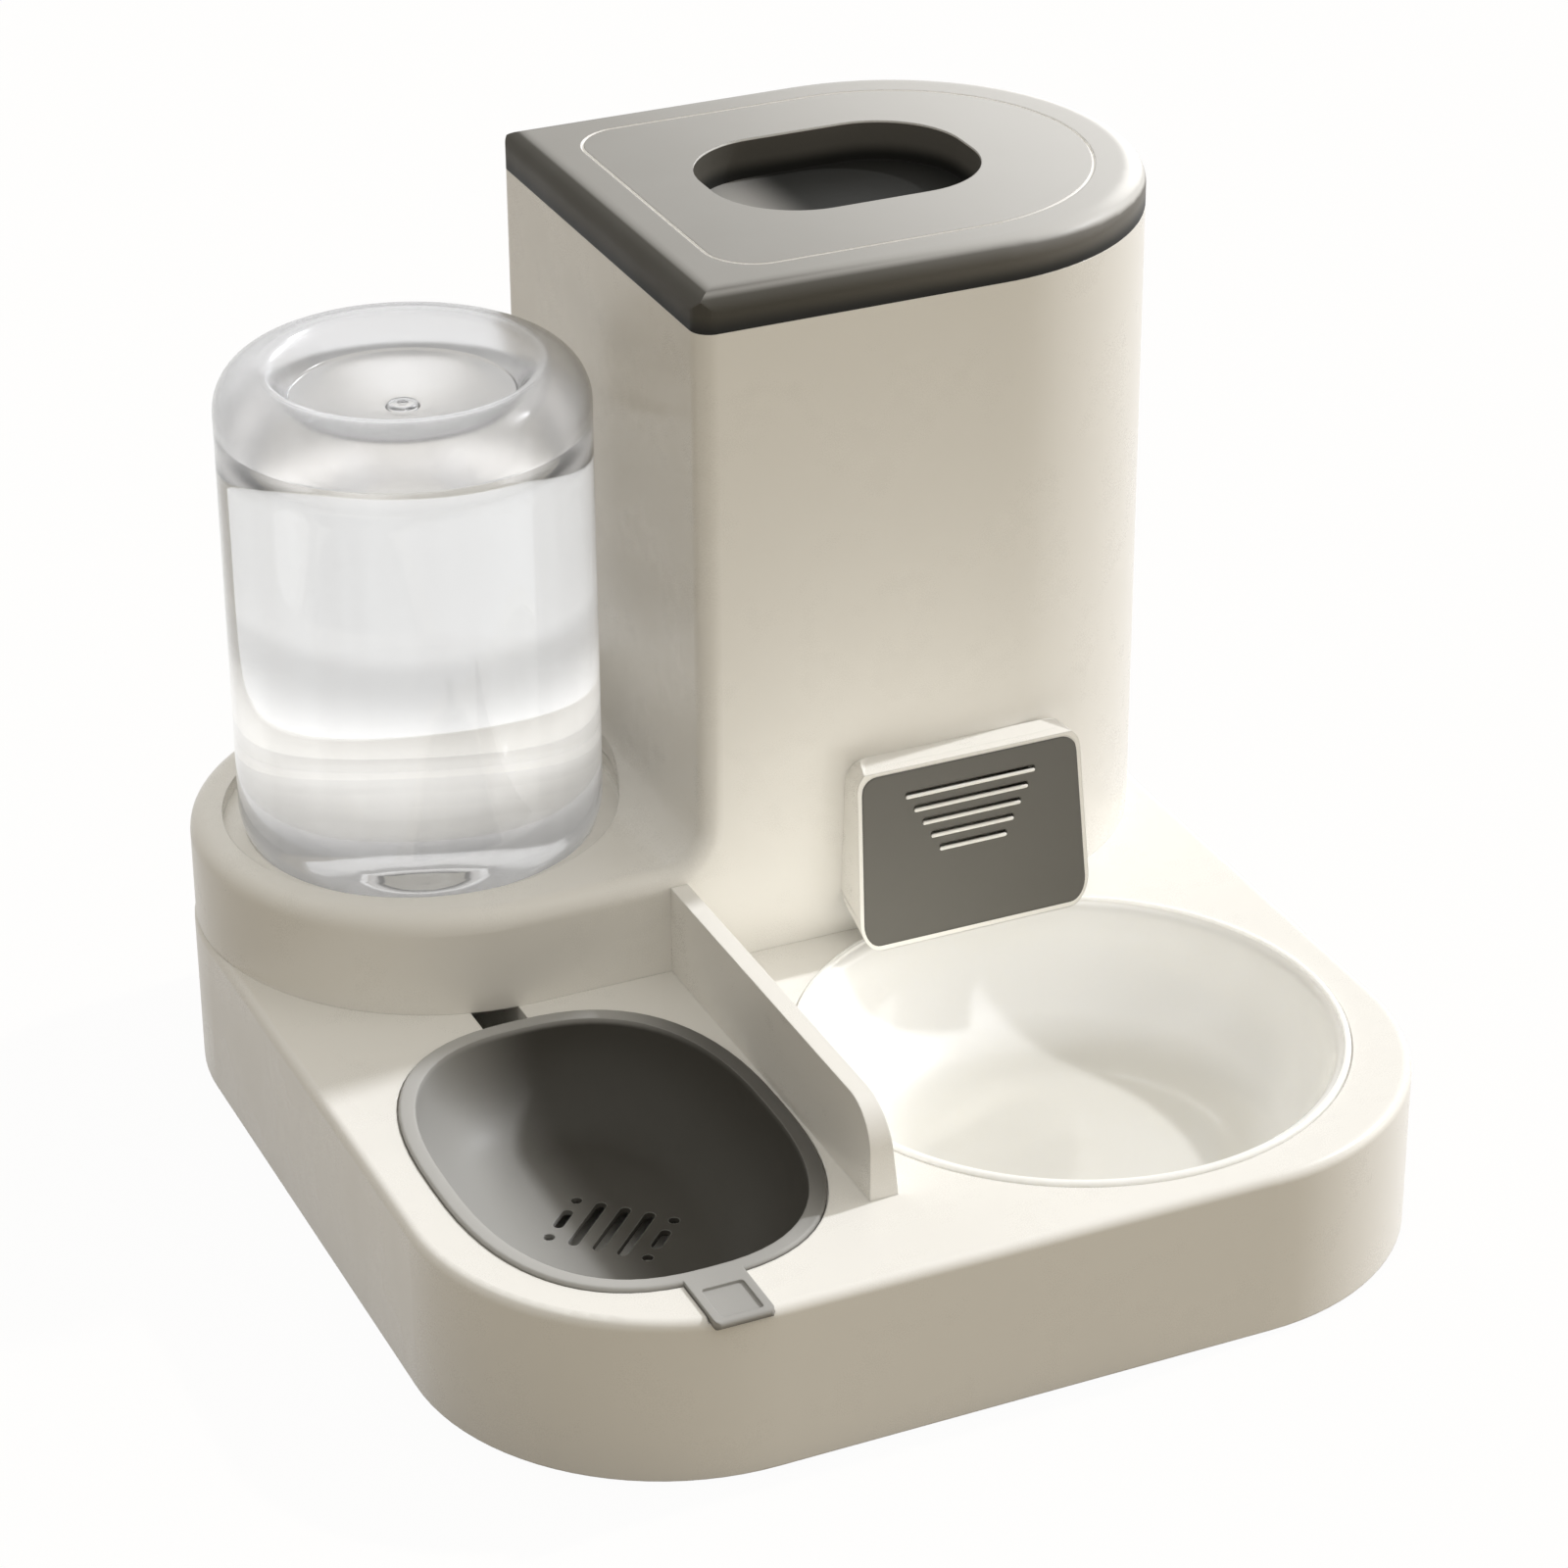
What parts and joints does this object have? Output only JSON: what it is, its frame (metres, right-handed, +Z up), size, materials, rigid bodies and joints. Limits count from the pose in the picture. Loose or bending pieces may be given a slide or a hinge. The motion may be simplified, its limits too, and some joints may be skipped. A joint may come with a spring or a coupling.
{
  "type": "pet food and water dispenser",
  "caption": "Feeder for small pets: tray with a round food bowl and an oval water bowl, inverted water bottle, D-shaped food bin with a lid and a slotted chute hood.",
  "frame": {"origin": "middle of the whole dispenser in plan, on the surface that its feet stand on", "axes": "+X to the right as seen from the front, +Y to the back, +Z up"},
  "size_m": [0.3, 0.323, 0.2625],
  "materials": {
    "cream_plastic": "smooth satin moulding",
    "food_bowl_plastic": "milky smooth moulding",
    "water_bowl_plastic": "satin grey moulding",
    "lid_plastic": "fine matt grey moulding",
    "panel_plastic": "fine matt dark grey moulding",
    "bottle_clear": "clear blown plastic",
    "valve_plastic": "plain moulding",
    "silicone": "soft translucent white",
    "foot_rubber": "matt",
    "spring_steel": "drawn wire",
    "screw_steel": "zinc plated"
  },
  "bodies": {
    "root": {"base_tray": "cream_plastic", "foot_front_left": "foot_rubber", "foot_front_right": "foot_rubber", "foot_back_left": "foot_rubber", "foot_back_right": "foot_rubber", "food_bowl": "food_bowl_plastic", "water_bowl": "water_bowl_plastic", "housing": "cream_plastic", "hopper_floor": "cream_plastic", "chute_hood": "cream_plastic", "chute_panel": "panel_plastic", "bottle": "bottle_clear", "bottle_cap": "valve_plastic", "cap_gasket": "silicone", "housing_screws": "screw_steel"},
    "valve": {"valve_stem": "valve_plastic", "valve_seal": "silicone", "spring_retainer": "valve_plastic", "valve_spring": "spring_steel"},
    "lid_body": {"lid": "lid_plastic", "lid_seal": "silicone"}
  },
  "joints": [
    {"name": "valve_slide", "type": "slide", "parent": "root", "child": "valve", "axis": [0, 0, 1], "range_m": [0, 0.002], "stiffness_N_per_m": 150, "springref_m": -0.008, "deforming": ["valve_spring"]},
    {"name": "lid_lift", "type": "slide", "parent": "root", "child": "lid_body", "axis": [0, 0, 1], "range_m": [0, 0.06]}
  ]
}
